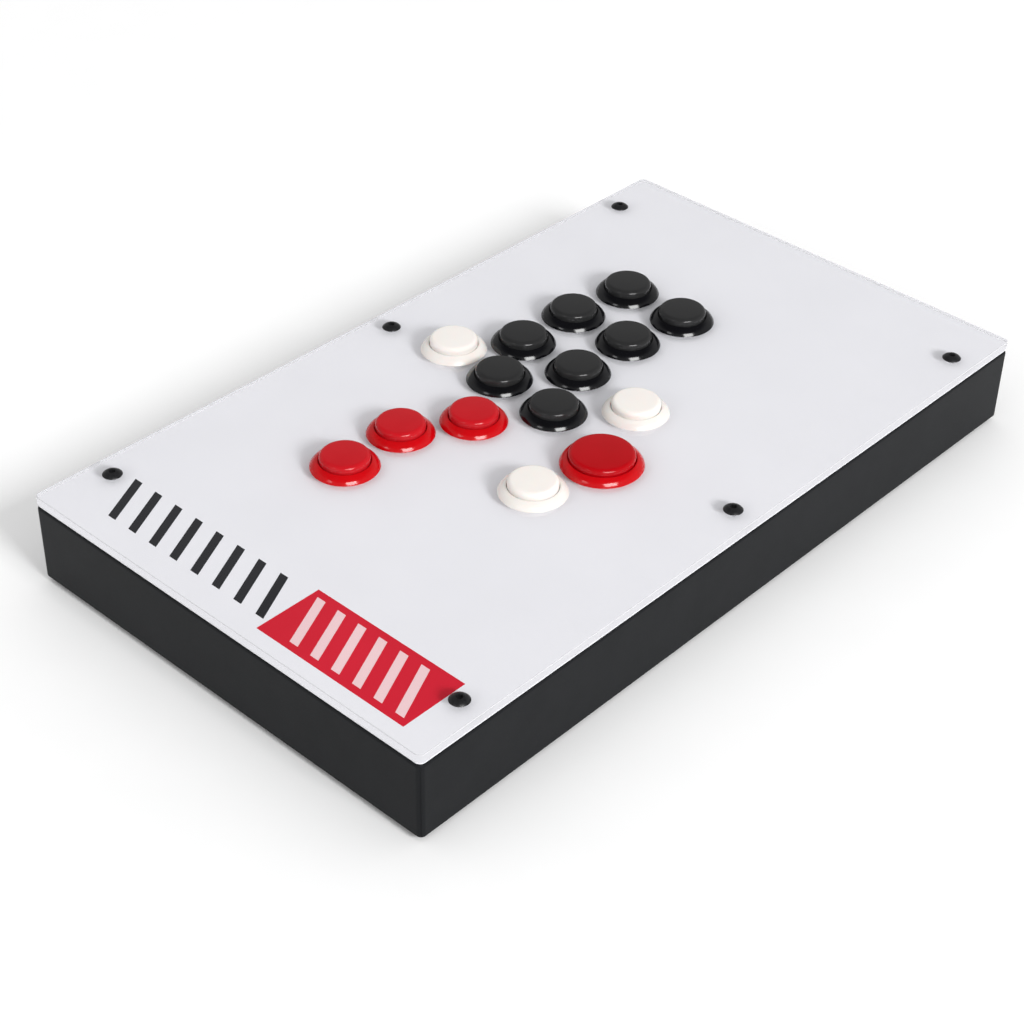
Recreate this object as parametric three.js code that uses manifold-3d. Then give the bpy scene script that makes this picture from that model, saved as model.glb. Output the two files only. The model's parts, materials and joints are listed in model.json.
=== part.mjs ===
// Leverless arcade controller: a flat steel case under a clear acrylic cover, with fifteen
// snap-in pushbuttons. Millimetres, +Z up, origin on the table under the middle of the case.
// +X runs along the long side to the player's right, +Y points away from the player.

import * as THREE from 'three';
import { mergeVertices } from 'three/addons/utils/BufferGeometryUtils.js';
import Module from 'manifold-3d';

const wasm = await Module();
wasm.setup();

// ---- driving dimensions ----

const FIT_GAP = 0.3;
const OVERLAP = 0.5; // how far two joined shapes run into each other

const BODY = { length: 360, width: 208, cornerRadius: 2.5 };
const FOOT = { radius: 8, height: 2, chamfer: 0.5, fromEnd: 26, fromSide: 22, segments: 16 };
const CASE = { height: 35, wall: 1.5, edgeRound: 1, lipWidth: 5, lipThickness: 1.5 };
const BASE = { thickness: 1.5, sideGap: 0.5 };
const SHEET = { thickness: 0.5, holeMargin: 0.9, segments: 12 };
const COVER = { thickness: 3.5 };

const SCREW = {
  fromEnd: 29.5, fromSide: 10.5, headRadius: 4, headHeight: 1.4, shankRadius: 1.8,
  shankLength: 9, socketRadius: 1.3, socketDepth: 1, segments: 10,
};
const BUSHING = { radius: 3.5, height: 6, segments: 10 };

const SMALL = {
  flangeRadius: 14, bezelHeight: 3.2, barrelRadius: 11.7, capRadius: 10.05, capTop: 6.1, segments: 14,
};
const LARGE = {
  flangeRadius: 17, bezelHeight: 3.4, barrelRadius: 14.7, capRadius: 13.3, capTop: 6, segments: 18,
};
const TRAVEL = 2.2;
const BARREL = { depth: 17, wall: 1.8, floor: 1.5, stemHoleRadius: 3 };
const PLUNGER = { wall: 1.2, roof: 3, skirtDepth: 9, stemRadius: 2, stemDepth: 13.4, edgeRound: 1.2 };
const BARB = { width: 6, height: 3, reach: 1.2 };
const SWITCH = {
  length: 12.8, width: 5.8, height: 6.5, nubRadius: 1.2, nubHeight: 0.8,
  bladeLength: 5, bladeWidth: 2.8, bladeThickness: 0.6, bladeSpacing: 7,
};
const CLIP = { width: 5, thickness: 1.4, length: 7.5 };

const BOARD = {
  length: 46, width: 28, thickness: 1.6, x: -105, fromWall: 3,
  standoffHeight: 5, standoffRadius: 2.5, standoffInset: 5, chipSize: 9, chipHeight: 1,
  headerLength: 18, headerWidth: 3, headerHeight: 6, headerX: 15, partsBack: 2,
};
const SOCKET = {
  width: 9, height: 3.3, depth: 8.5, mouthWidth: 8.2, mouthHeight: 2.5, mouthDepth: 6.5,
  tongueWidth: 6.6, tongueThickness: 0.7, tongueDepth: 5, slack: 0.5, recess: 0.4,
};

// Button centres from the middle of the cover.
const BUTTONS = [
  { name: 'left', x: -84, y: 33.5, size: SMALL, colour: 'red' },
  { name: 'down', x: -53, y: 34, size: SMALL, colour: 'red' },
  { name: 'right', x: -26.5, y: 19, size: SMALL, colour: 'red' },
  { name: 'jump', x: -12.5, y: -37.5, size: LARGE, colour: 'red' },
  { name: 'action_1', x: 3, y: 32.5, size: SMALL, colour: 'black' },
  { name: 'action_2', x: 30.5, y: 44.5, size: SMALL, colour: 'black' },
  { name: 'action_3', x: 62, y: 44, size: SMALL, colour: 'black' },
  { name: 'action_4', x: 93.5, y: 40, size: SMALL, colour: 'black' },
  { name: 'action_5', x: 0.5, y: 0, size: SMALL, colour: 'black' },
  { name: 'action_6', x: 29.5, y: 12.5, size: SMALL, colour: 'black' },
  { name: 'action_7', x: 61.5, y: 12.5, size: SMALL, colour: 'black' },
  { name: 'action_8', x: 92.5, y: 8, size: SMALL, colour: 'black' },
  { name: 'option_1', x: 6.5, y: 62.5, size: SMALL, colour: 'white' },
  { name: 'option_2', x: 24.5, y: -23.5, size: SMALL, colour: 'white' },
  { name: 'option_3', x: -45, y: -30.5, size: SMALL, colour: 'white' },
];

// ---- levels worked out from the dimensions ----

const caseBottom = FOOT.height;
const caseTop = caseBottom + CASE.height;
const baseTop = caseBottom + BASE.thickness;
const lipTop = baseTop + CASE.lipThickness;
const panelUnderside = caseTop - CASE.wall;
const sheetTop = caseTop + SHEET.thickness;
const coverTop = sheetTop + COVER.thickness;
const panelStack = coverTop - panelUnderside;
const boardBottom = baseTop + BOARD.standoffHeight;
const boardTop = boardBottom + BOARD.thickness;

const screwX = BODY.length / 2 - SCREW.fromEnd;
const screwY = BODY.width / 2 - SCREW.fromSide;
const screwPlaces = [-1, 1].flatMap((side) => (
  [-1, 0, 1].map((end) => [end * screwX, side * screwY])
));

const footX = BODY.length / 2 - FOOT.fromEnd;
const footY = BODY.width / 2 - FOOT.fromSide;
const footPlaces = [-1, 1].flatMap((side) => [-1, 1].map((end) => [end * footX, side * footY]));

// ---- materials ----

const look = (color, roughness, metalness) => new THREE.MeshStandardMaterial({ color, roughness, metalness });

const steelPaint = look(0x2c2d30, 0.55, 0.1);
const printWhite = look(0xf2f2f5, 0.5, 0);
const clearAcrylic = new THREE.MeshStandardMaterial({
  color: 0xf4f5f8, roughness: 0.08, metalness: 0, transparent: true, opacity: 0.35,
});
const blackOxide = look(0x151517, 0.35, 0.6);
const rubber = look(0x1d1d1e, 0.85, 0);
const circuitBoard = look(0x1f5a3a, 0.5, 0);
const switchPlastic = look(0x24262b, 0.5, 0);
const bezelPlastic = {
  red: look(0xd6101a, 0.2, 0),
  black: look(0x121214, 0.2, 0),
  white: look(0xf4f1ea, 0.25, 0),
};
const capPlastic = {
  red: look(0xc0202c, 0.38, 0),
  black: look(0x343436, 0.38, 0),
  white: look(0xf7f4ee, 0.35, 0),
};

// ---- solids ----

// Welds a geometry's shared corners and drops the zero-area triangles left at poles and seams.
function weld(geometry) {
  const bare = geometry.clone();
  bare.deleteAttribute('normal');
  bare.deleteAttribute('uv');
  const welded = mergeVertices(bare);
  const corners = Array.from(welded.index.array);
  const kept = [];
  for (let i = 0; i < corners.length; i += 3) {
    const [a, b, c] = corners.slice(i, i + 3);
    if (a !== b && b !== c && c !== a) kept.push(a, b, c);
  }
  welded.setIndex(kept);
  return welded;
}

function solid(geometry) {
  const welded = weld(geometry);
  return new wasm.Manifold(new wasm.Mesh({
    numProp: 3,
    vertProperties: new Float32Array(welded.attributes.position.array),
    triVerts: new Uint32Array(welded.index.array),
  }));
}

function geometryOf(shape) {
  const mesh = shape.getMesh();
  const geometry = new THREE.BufferGeometry();
  geometry.setAttribute('position', new THREE.BufferAttribute(mesh.vertProperties, 3));
  geometry.setIndex(new THREE.BufferAttribute(mesh.triVerts, 1));
  geometry.computeVertexNormals();
  return geometry;
}

const joined = (shapes) => shapes.reduce((whole, shape) => whole.add(shape));
const cut = (whole, tools) => tools.reduce((rest, tool) => rest.subtract(tool), whole);

function boxAt(sizeX, sizeY, bottom, top, x = 0, y = 0) {
  return new THREE.BoxGeometry(sizeX, sizeY, top - bottom).translate(x, y, (top + bottom) / 2);
}

function rod(radius, bottom, top, segments, x = 0, y = 0) {
  return new THREE.CylinderGeometry(radius, radius, top - bottom, segments)
    .rotateX(Math.PI / 2)
    .translate(x, y, (top + bottom) / 2);
}

// A profile of [radius, height] points turned about the vertical axis.
function turned(profile, segments) {
  const points = profile.map(([radius, height]) => new THREE.Vector2(radius, height));
  return new THREE.LatheGeometry(points, segments).rotateX(Math.PI / 2);
}

function roundedRectangle(length, width, radius) {
  const x = length / 2 - radius;
  const y = width / 2 - radius;
  const outline = new THREE.Shape();
  outline.absarc(x, y, radius, 0, Math.PI / 2);
  outline.absarc(-x, y, radius, Math.PI / 2, Math.PI);
  outline.absarc(-x, -y, radius, Math.PI, 1.5 * Math.PI);
  outline.absarc(x, -y, radius, 1.5 * Math.PI, 2 * Math.PI);
  outline.closePath();
  return outline;
}

// An upright slab of the body's outline, drawn in by `inset`, with its long edges rounded by `edge`.
function slab(inset, bottom, top, edge = 0) {
  const margin = 2 * (inset + edge);
  const radius = Math.max(BODY.cornerRadius - inset - edge, 0.5);
  const outline = roundedRectangle(BODY.length - margin, BODY.width - margin, radius);
  return new THREE.ExtrudeGeometry(outline, {
    depth: top - bottom - 2 * edge,
    curveSegments: 3,
    bevelEnabled: edge > 0,
    bevelThickness: edge,
    bevelSize: edge,
    bevelSegments: 2,
  }).translate(0, 0, bottom + edge);
}

function buttonHoles(bottom, top, margin, segments) {
  return BUTTONS.map(({ x, y, size }) => (
    solid(rod(size.barrelRadius + margin, bottom, top, segments ?? size.segments, x, y))
  ));
}

function screwHoles(bottom, top) {
  const radius = SCREW.shankRadius + FIT_GAP;
  return screwPlaces.map(([x, y]) => solid(rod(radius, bottom, top, SCREW.segments, x, y)));
}

// ---- case, base, printed sheet and cover ----

// One folded steel shell: four walls, the button panel on top and an inward lip for the base.
function caseShell() {
  const block = solid(slab(0, caseBottom, caseTop, CASE.edgeRound));
  const baseRecess = solid(slab(CASE.wall, caseBottom - 1, baseTop));
  const mouth = solid(slab(CASE.wall + CASE.lipWidth, baseTop - 1, lipTop + 1));
  const hollow = solid(slab(CASE.wall, lipTop, panelUnderside));
  const socketOpening = solid(boxAt(
    SOCKET.width + 2 * SOCKET.slack, 4 * CASE.wall,
    boardTop - SOCKET.slack, boardTop + SOCKET.height + SOCKET.slack, BOARD.x, BODY.width / 2,
  ));
  const bushingBottom = panelUnderside - BUSHING.height;
  const bushings = screwPlaces.map(([x, y]) => (
    solid(rod(BUSHING.radius, bushingBottom, panelUnderside + OVERLAP, BUSHING.segments, x, y))
  ));
  const shell = joined([cut(block, [baseRecess, mouth, hollow]), ...bushings]);
  return cut(shell, [
    socketOpening,
    ...buttonHoles(panelUnderside - 1, caseTop + 1, FIT_GAP),
    ...screwHoles(coverTop - SCREW.shankLength - FIT_GAP, caseTop + 1),
  ]);
}

function basePlate() {
  return solid(slab(CASE.wall + BASE.sideGap, caseBottom, baseTop));
}

function printedSheet() {
  const blank = solid(slab(0.25, caseTop, sheetTop));
  return cut(blank, [
    ...buttonHoles(caseTop - 1, sheetTop + 1, SHEET.holeMargin, SHEET.segments),
    ...screwHoles(caseTop - 1, sheetTop + 1),
  ]);
}

function coverPlate() {
  const blank = solid(slab(0, sheetTop, coverTop));
  return cut(blank, [
    ...buttonHoles(sheetTop - 1, coverTop + 1, FIT_GAP),
    ...screwHoles(sheetTop - 1, coverTop + 1),
  ]);
}

// Button-head screw with a hexagon socket; its origin is on the cover under the head.
function coverScrew() {
  const { headRadius, headHeight, shankRadius, shankLength, socketRadius, socketDepth, segments } = SCREW;
  const body = turned([
    [0, -shankLength],
    [shankRadius, -shankLength],
    [shankRadius, 0],
    [headRadius, 0],
    [headRadius * 0.84, headHeight * 0.5],
    [headRadius * 0.65, headHeight * 0.86],
    [headRadius * 0.44, headHeight],
    [0, headHeight],
  ], segments);
  const socket = rod(socketRadius, headHeight - socketDepth, headHeight + 1, 6);
  return cut(solid(body), [solid(socket)]);
}

function foot() {
  const { radius, height, chamfer, segments } = FOOT;
  const profile = [[0, 0], [radius - chamfer, 0], [radius, chamfer], [radius, height], [0, height]];
  return solid(turned(profile, segments));
}

// ---- pushbuttons; each origin is on the cover's top face, on the button's axis ----

// Flange, bezel and barrel in one piece, with snap barbs and two clips for the switch.
function buttonHousing(size) {
  const { flangeRadius, bezelHeight, barrelRadius, capRadius, segments } = size;
  const wellRadius = capRadius + FIT_GAP;
  const boreRadius = barrelRadius - BARREL.wall;
  const slope = flangeRadius - wellRadius;
  const body = turned([
    [BARREL.stemHoleRadius, -BARREL.depth],
    [barrelRadius, -BARREL.depth],
    [barrelRadius, 0],
    [flangeRadius, 0],
    [flangeRadius - slope * 0.24, bezelHeight * 0.44],
    [flangeRadius - slope * 0.58, bezelHeight * 0.78],
    [wellRadius, bezelHeight],
    [wellRadius, 0],
    [boreRadius, 0],
    [boreRadius, BARREL.floor - BARREL.depth],
    [BARREL.stemHoleRadius, BARREL.floor - BARREL.depth],
    [BARREL.stemHoleRadius, -BARREL.depth],
  ], segments);
  const barbTop = -panelStack - FIT_GAP;
  const barbs = [-1, 1].map((side) => solid(snapBarb(barrelRadius, barbTop, side)));
  const clipX = SWITCH.length / 2 + FIT_GAP + CLIP.thickness / 2;
  const clips = [-1, 1].map((side) => solid(boxAt(
    CLIP.thickness, CLIP.width, -BARREL.depth - CLIP.length, OVERLAP - BARREL.depth, side * clipX, 0,
  )));
  return joined([solid(body), ...barbs, ...clips]);
}

// A wedge that springs out under the panel: square on top, sloping in towards the bottom.
function snapBarb(barrelRadius, top, side) {
  const root = barrelRadius - 1;
  const wedge = new THREE.Shape([
    new THREE.Vector2(root, top),
    new THREE.Vector2(root, top - BARB.height),
    new THREE.Vector2(barrelRadius - 0.2, top - BARB.height),
    new THREE.Vector2(barrelRadius + BARB.reach, top),
  ]);
  const turn = side > 0 ? 0 : Math.PI;
  return new THREE.ExtrudeGeometry(wedge, { depth: BARB.width, bevelEnabled: false })
    .translate(0, 0, -BARB.width / 2)
    .rotateX(Math.PI / 2)
    .rotateZ(turn);
}

// Hollow cap that rides in the barrel, with a stem down to the switch.
function buttonPlunger(size) {
  const { barrelRadius, capRadius, capTop, segments } = size;
  const skirtRadius = barrelRadius - BARREL.wall - FIT_GAP;
  const innerRadius = skirtRadius - PLUNGER.wall;
  const capBottom = TRAVEL + FIT_GAP;
  const ceiling = capTop - PLUNGER.roof;
  return solid(turned([
    [0, -PLUNGER.stemDepth],
    [PLUNGER.stemRadius, -PLUNGER.stemDepth],
    [PLUNGER.stemRadius, ceiling],
    [innerRadius, ceiling],
    [innerRadius, -PLUNGER.skirtDepth],
    [skirtRadius, -PLUNGER.skirtDepth],
    [skirtRadius, capBottom],
    [capRadius, capBottom],
    [capRadius, capTop - PLUNGER.edgeRound],
    [capRadius - PLUNGER.edgeRound, capTop],
    [0, capTop],
  ], segments));
}

// Miniature switch under the barrel, its nub in the stem hole and two blades below.
function microSwitch() {
  const top = -BARREL.depth;
  const bottom = top - SWITCH.height;
  const body = solid(boxAt(SWITCH.length, SWITCH.width, bottom, top));
  const nub = solid(rod(SWITCH.nubRadius, top - OVERLAP, top + SWITCH.nubHeight, 8));
  const blades = [-1, 1].map((side) => solid(boxAt(
    SWITCH.bladeThickness, SWITCH.bladeWidth, bottom - SWITCH.bladeLength, bottom + OVERLAP,
    side * SWITCH.bladeSpacing / 2, 0,
  )));
  return joined([body, nub, ...blades]);
}

// ---- encoder board on four standoffs, with its USB socket in the back wall ----

function encoderBoard() {
  const boardEdge = BODY.width / 2 - CASE.wall - BOARD.fromWall;
  const boardY = boardEdge - BOARD.width / 2;
  const partsY = boardY - BOARD.partsBack;
  const partsBottom = boardTop - OVERLAP;
  const standoffX = BOARD.length / 2 - BOARD.standoffInset;
  const standoffY = BOARD.width / 2 - BOARD.standoffInset;
  const corners = [-1, 1].flatMap((end) => [-1, 1].map((side) => [end * standoffX, side * standoffY]));
  const board = boxAt(BOARD.length, BOARD.width, boardBottom, boardTop, BOARD.x, boardY);
  const standoffs = corners.map(([x, y]) => (
    rod(BOARD.standoffRadius, baseTop, boardBottom + OVERLAP, 10, BOARD.x + x, boardY + y)
  ));
  const chipTop = boardTop + BOARD.chipHeight;
  const chip = boxAt(BOARD.chipSize, BOARD.chipSize, partsBottom, chipTop, BOARD.x, partsY);
  const headers = [-1, 1].map((end) => boxAt(
    BOARD.headerWidth, BOARD.headerLength, partsBottom, boardTop + BOARD.headerHeight,
    BOARD.x + end * BOARD.headerX, partsY,
  ));
  return joined([...[board, ...standoffs, chip, ...headers].map(solid), usbSocket()]);
}

// Metal shell with an open mouth towards +Y and a contact tongue inside.
function usbSocket() {
  const face = BODY.width / 2 - SOCKET.recess;
  const middle = boardTop + SOCKET.height / 2;
  const slot = (width, height, back, front) => solid(boxAt(
    width, front - back, middle - height / 2, middle + height / 2, BOARD.x, (front + back) / 2,
  ));
  const shell = slot(SOCKET.width, SOCKET.height + FIT_GAP, face - SOCKET.depth, face);
  const mouthBack = face - SOCKET.mouthDepth;
  const mouth = slot(SOCKET.mouthWidth, SOCKET.mouthHeight, mouthBack, face + 1);
  const tongueBack = mouthBack - OVERLAP;
  const tongueFront = tongueBack + SOCKET.tongueDepth;
  const tongue = slot(SOCKET.tongueWidth, SOCKET.tongueThickness, tongueBack, tongueFront);
  return shell.subtract(mouth).add(tongue);
}

// ---- assembly ----

const controller = new THREE.Group();

function place(name, shape, material, x = 0, y = 0, z = 0) {
  const mesh = new THREE.Mesh(geometryOf(shape), material);
  mesh.name = name;
  mesh.position.set(x, y, z);
  controller.add(mesh);
}

place('case_shell', caseShell(), steelPaint);
place('base_plate', basePlate(), steelPaint);
place('printed_sheet', printedSheet(), printWhite);
place('cover_plate', coverPlate(), clearAcrylic);
place('encoder_board', encoderBoard(), circuitBoard);
screwPlaces.forEach(([x, y], i) => place(`cover_screw_${i + 1}`, coverScrew(), blackOxide, x, y, coverTop));
footPlaces.forEach(([x, y], i) => place(`foot_${i + 1}`, foot(), rubber, x, y));

for (const { name, x, y, size, colour } of BUTTONS) {
  place(`housing_${name}`, buttonHousing(size), bezelPlastic[colour], x, y, coverTop);
  place(`plunger_${name}`, buttonPlunger(size), capPlastic[colour], x, y, coverTop);
  place(`switch_${name}`, microSwitch(), switchPlastic, x, y, coverTop);
}

export default controller;
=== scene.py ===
"""Leverless arcade controller: a black steel case, a clear cover over a white print, fifteen pushbuttons.

Everything is in metres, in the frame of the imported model: +X to the player's right, +Y away from the
player, +Z up, the feet's soles at zero.
"""

import json
import math

import bmesh
import bpy
from mathutils import Matrix, Vector


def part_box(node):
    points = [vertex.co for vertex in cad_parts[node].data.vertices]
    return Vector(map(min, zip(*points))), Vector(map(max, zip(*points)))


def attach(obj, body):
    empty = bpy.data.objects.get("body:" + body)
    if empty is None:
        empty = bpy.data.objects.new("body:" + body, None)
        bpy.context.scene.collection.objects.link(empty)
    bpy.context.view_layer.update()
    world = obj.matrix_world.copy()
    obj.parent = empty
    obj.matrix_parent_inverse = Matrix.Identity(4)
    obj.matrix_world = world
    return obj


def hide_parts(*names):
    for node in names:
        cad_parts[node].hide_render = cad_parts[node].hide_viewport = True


MM = 0.001
WHOLE_TURN = 2 * math.pi

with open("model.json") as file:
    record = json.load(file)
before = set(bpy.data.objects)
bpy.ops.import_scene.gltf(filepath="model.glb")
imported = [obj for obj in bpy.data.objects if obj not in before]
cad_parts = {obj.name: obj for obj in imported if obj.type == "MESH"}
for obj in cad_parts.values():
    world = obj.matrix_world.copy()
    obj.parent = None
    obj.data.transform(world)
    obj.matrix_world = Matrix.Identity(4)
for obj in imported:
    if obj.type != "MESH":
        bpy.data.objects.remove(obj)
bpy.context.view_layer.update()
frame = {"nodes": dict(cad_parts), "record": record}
nodes = frame["nodes"]
slot_of = {part["node"]: part["material_slot"] for part in frame["record"]["subparts"]}

ROOT = "case"


# ---------------------------------------------------------------- camera and light

# The camera stands off the panel's front left corner.
VIEW_AZIMUTH = -49.28
VIEW_ELEVATION = 36.96
VIEW_ROLL = 2.14
VIEW_DISTANCE = 871.4 * MM
VIEW_TARGET = Vector((-8.4, -13.2, 2.0)) * MM
LENS = 74.32
SENSOR = 36.0
SHIFT_X = -0.047
CLIP_NEAR = 0.05
CLIP_FAR = 50

# Radiance of the room: what lights matt surfaces, and what glossy ones mirror low down and overhead.
AMBIENT = 0.73
HORIZON = 0.36
CEILING = 0.04
DARKENS_FROM, DARKENS_TO = 25, 55   # elevations, in degrees
LAMP_DISTANCE = 8.0
SHEEN_DISTANCE = 7.6
LAMP_ELEVATION = 32


def direction(azimuth, elevation):
    """Unit vector towards a point seen at this azimuth (0 is -Y, 90 is +X) and elevation, in degrees."""
    a, e = math.radians(azimuth), math.radians(elevation)
    return Vector((math.sin(a) * math.cos(e), -math.cos(a) * math.cos(e), math.sin(e)))


def make_camera():
    data = bpy.data.cameras.new("camera")
    data.lens = LENS
    data.sensor_width = SENSOR
    data.shift_x = SHIFT_X
    data.clip_start = CLIP_NEAR
    data.clip_end = CLIP_FAR
    camera = bpy.data.objects.new("camera", data)
    bpy.context.scene.collection.objects.link(camera)
    back = direction(VIEW_AZIMUTH, VIEW_ELEVATION)
    camera.location = VIEW_TARGET + back * VIEW_DISTANCE
    facing = (-back).to_track_quat("-Z", "Y").to_matrix().to_4x4()
    roll = math.radians(VIEW_ROLL)
    camera.matrix_world = Matrix.Translation(camera.location) @ facing @ Matrix.Rotation(roll, 4, "Z")
    bpy.context.scene.camera = camera


def soft_box(name, turn, size, radiance, distance=LAMP_DISTANCE, matt=True, glossy=True):
    """A far square lamp, `turn` degrees round from the camera; its radiance is what a mirror shows."""
    width, height = size
    data = bpy.data.lights.new(name, "AREA")
    data.shape = "RECTANGLE"
    data.size = width
    data.size_y = height
    data.energy = radiance * math.pi * width * height
    lamp = bpy.data.objects.new(name, data)
    bpy.context.scene.collection.objects.link(lamp)
    towards = direction(VIEW_AZIMUTH + turn, LAMP_ELEVATION)
    lamp.location = towards * distance
    lamp.rotation_mode = "QUATERNION"
    lamp.rotation_quaternion = towards.to_track_quat("Z", "Y")
    lamp.visible_diffuse = matt
    lamp.visible_glossy = glossy
    lamp.visible_transmission = False
    return lamp


def spare(piece, *lamps):
    """Keeps the mirror image of these lamps off a piece."""
    spared = bpy.data.collections.new("no_mirror_image")
    spared.objects.link(piece)
    spared.collection_objects[0].light_linking.link_state = "EXCLUDE"
    for lamp in lamps:
        lamp.light_linking.receiver_collection = spared


def make_world():
    """Soft light all round for matt surfaces, a room that darkens upwards in mirrors, white behind."""
    world = bpy.data.worlds.new("studio")
    bpy.context.scene.world = world
    world.use_nodes = True
    tree = world.node_tree
    tree.nodes.clear()
    path = tree.nodes.new("ShaderNodeLightPath")
    ambient = tree.nodes.new("ShaderNodeBackground")
    ambient.inputs["Strength"].default_value = AMBIENT
    room = tree.nodes.new("ShaderNodeBackground")
    coords = tree.nodes.new("ShaderNodeTexCoord")
    parts = tree.nodes.new("ShaderNodeSeparateXYZ")
    falloff = tree.nodes.new("ShaderNodeMapRange")
    falloff.interpolation_type = "SMOOTHSTEP"
    falloff.inputs["From Min"].default_value = math.sin(math.radians(DARKENS_FROM))
    falloff.inputs["From Max"].default_value = math.sin(math.radians(DARKENS_TO))
    falloff.inputs["To Min"].default_value = HORIZON
    falloff.inputs["To Max"].default_value = CEILING
    tree.links.new(coords.outputs["Generated"], parts.inputs["Vector"])
    tree.links.new(parts.outputs["Z"], falloff.inputs["Value"])
    tree.links.new(falloff.outputs["Result"], room.inputs["Strength"])
    backdrop = tree.nodes.new("ShaderNodeBackground")
    shiny = tree.nodes.new("ShaderNodeMixShader")
    seen = tree.nodes.new("ShaderNodeMixShader")
    out = tree.nodes.new("ShaderNodeOutputWorld")
    for background in (ambient, room, backdrop):
        background.inputs["Color"].default_value = (1, 1, 1, 1)
    tree.links.new(path.outputs["Is Glossy Ray"], shiny.inputs["Fac"])
    tree.links.new(ambient.outputs[0], shiny.inputs[1])
    tree.links.new(room.outputs[0], shiny.inputs[2])
    tree.links.new(path.outputs["Is Camera Ray"], seen.inputs["Fac"])
    tree.links.new(shiny.outputs[0], seen.inputs[1])
    tree.links.new(backdrop.outputs[0], seen.inputs[2])
    tree.links.new(seen.outputs[0], out.inputs["Surface"])


make_camera()
make_world()
soft_box("key", 45, (2.3, 2.0), 28.5, glossy=False)
key_sheen = soft_box("key_sheen", 26, (3.9, 3.0), 15, SHEEN_DISTANCE, matt=False)
fill = soft_box("fill", -46, (2.0, 1.6), 3.2)
bpy.context.scene.view_settings.view_transform = "Standard"


# ---------------------------------------------------------------- materials

def new_material(name):
    material = bpy.data.materials.new(name)
    material.use_nodes = True
    return material, material.node_tree, material.node_tree.nodes["Principled BSDF"]


def noise_at(tree, grain, detail=2.0, roughness=0.5):
    """Noise in the row frame whose blobs are about `grain` metres across."""
    coords = tree.nodes.new("ShaderNodeTexCoord")
    noise = tree.nodes.new("ShaderNodeTexNoise")
    noise.inputs["Scale"].default_value = 1 / grain
    noise.inputs["Detail"].default_value = detail
    noise.inputs["Roughness"].default_value = roughness
    tree.links.new(coords.outputs["Object"], noise.inputs["Vector"])
    return noise.outputs["Fac"]


def spread(tree, factor, low, high, start=0.3, stop=0.7):
    node = tree.nodes.new("ShaderNodeMapRange")
    node.inputs["From Min"].default_value = start
    node.inputs["From Max"].default_value = stop
    node.inputs["To Min"].default_value = low
    node.inputs["To Max"].default_value = high
    tree.links.new(factor, node.inputs["Value"])
    return node.outputs["Result"]


def blend_colours(tree, factor, first, second, start=0.35, stop=0.65):
    ramp = tree.nodes.new("ShaderNodeValToRGB")
    ramp.color_ramp.elements[0].position = start
    ramp.color_ramp.elements[0].color = (*first, 1)
    ramp.color_ramp.elements[1].position = stop
    ramp.color_ramp.elements[1].color = (*second, 1)
    tree.links.new(factor, ramp.inputs["Fac"])
    return ramp.outputs["Color"]


def bump(tree, factor, depth, normal=None):
    node = tree.nodes.new("ShaderNodeBump")
    node.inputs["Strength"].default_value = 1.0
    node.inputs["Distance"].default_value = depth
    tree.links.new(factor, node.inputs["Height"])
    if normal is not None:
        tree.links.new(normal, node.inputs["Normal"])
    return node.outputs["Normal"]


def plastic(name, colour, shade, gloss=(0.12, 0.15), specular=0.5, glow=0.0):
    """Moulded plastic: faint flow marks in its colour, uneven polish and a fine skin."""
    material, tree, shader = new_material(name)
    flow = noise_at(tree, 9 * MM, 3)
    grain = noise_at(tree, 1.2 * MM, 3)
    low, high = gloss
    tree.links.new(blend_colours(tree, flow, shade, colour), shader.inputs["Base Color"])
    tree.links.new(spread(tree, noise_at(tree, 3 * MM, 4), low, high), shader.inputs["Roughness"])
    tree.links.new(bump(tree, grain, 0.002 * MM), shader.inputs["Normal"])
    shader.inputs["Specular IOR Level"].default_value = specular
    if glow:
        shader.inputs["Subsurface Weight"].default_value = glow
        shader.inputs["Subsurface Radius"].default_value = (1.0, 0.5, 0.4)
        shader.inputs["Subsurface Scale"].default_value = 0.8 * MM
    return material


def powder_coat(name, colour, shade):
    """Satin powder coat: orange-peel skin and a fine speckle."""
    material, tree, shader = new_material(name)
    mottle = noise_at(tree, 14 * MM, 4)
    speckle = noise_at(tree, 0.35 * MM, 2)
    peel = noise_at(tree, 1.1 * MM, 2)
    tree.links.new(blend_colours(tree, mottle, shade, colour), shader.inputs["Base Color"])
    tree.links.new(spread(tree, speckle, 0.36, 0.46), shader.inputs["Roughness"])
    skin = bump(tree, peel, 0.012 * MM)
    tree.links.new(bump(tree, speckle, 0.006 * MM, skin), shader.inputs["Normal"])
    shader.inputs["Specular IOR Level"].default_value = 0.06
    return material


def oxide_steel(name, colour, shade):
    """Black oxide on turned steel."""
    material, tree, shader = new_material(name)
    mottle = noise_at(tree, 1.2 * MM, 4)
    tree.links.new(blend_colours(tree, mottle, shade, colour), shader.inputs["Base Color"])
    tree.links.new(spread(tree, noise_at(tree, 0.5 * MM, 3), 0.26, 0.4), shader.inputs["Roughness"])
    tree.links.new(bump(tree, noise_at(tree, 0.2 * MM, 2), 0.004 * MM), shader.inputs["Normal"])
    shader.inputs["Specular IOR Level"].default_value = 0.4
    return material


def bare_metal(name, colour, shade):
    material, tree, shader = new_material(name)
    brushed = noise_at(tree, 0.6 * MM, 5)
    tree.links.new(blend_colours(tree, brushed, shade, colour), shader.inputs["Base Color"])
    tree.links.new(spread(tree, brushed, 0.22, 0.4), shader.inputs["Roughness"])
    shader.inputs["Metallic"].default_value = 1.0
    return material


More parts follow.
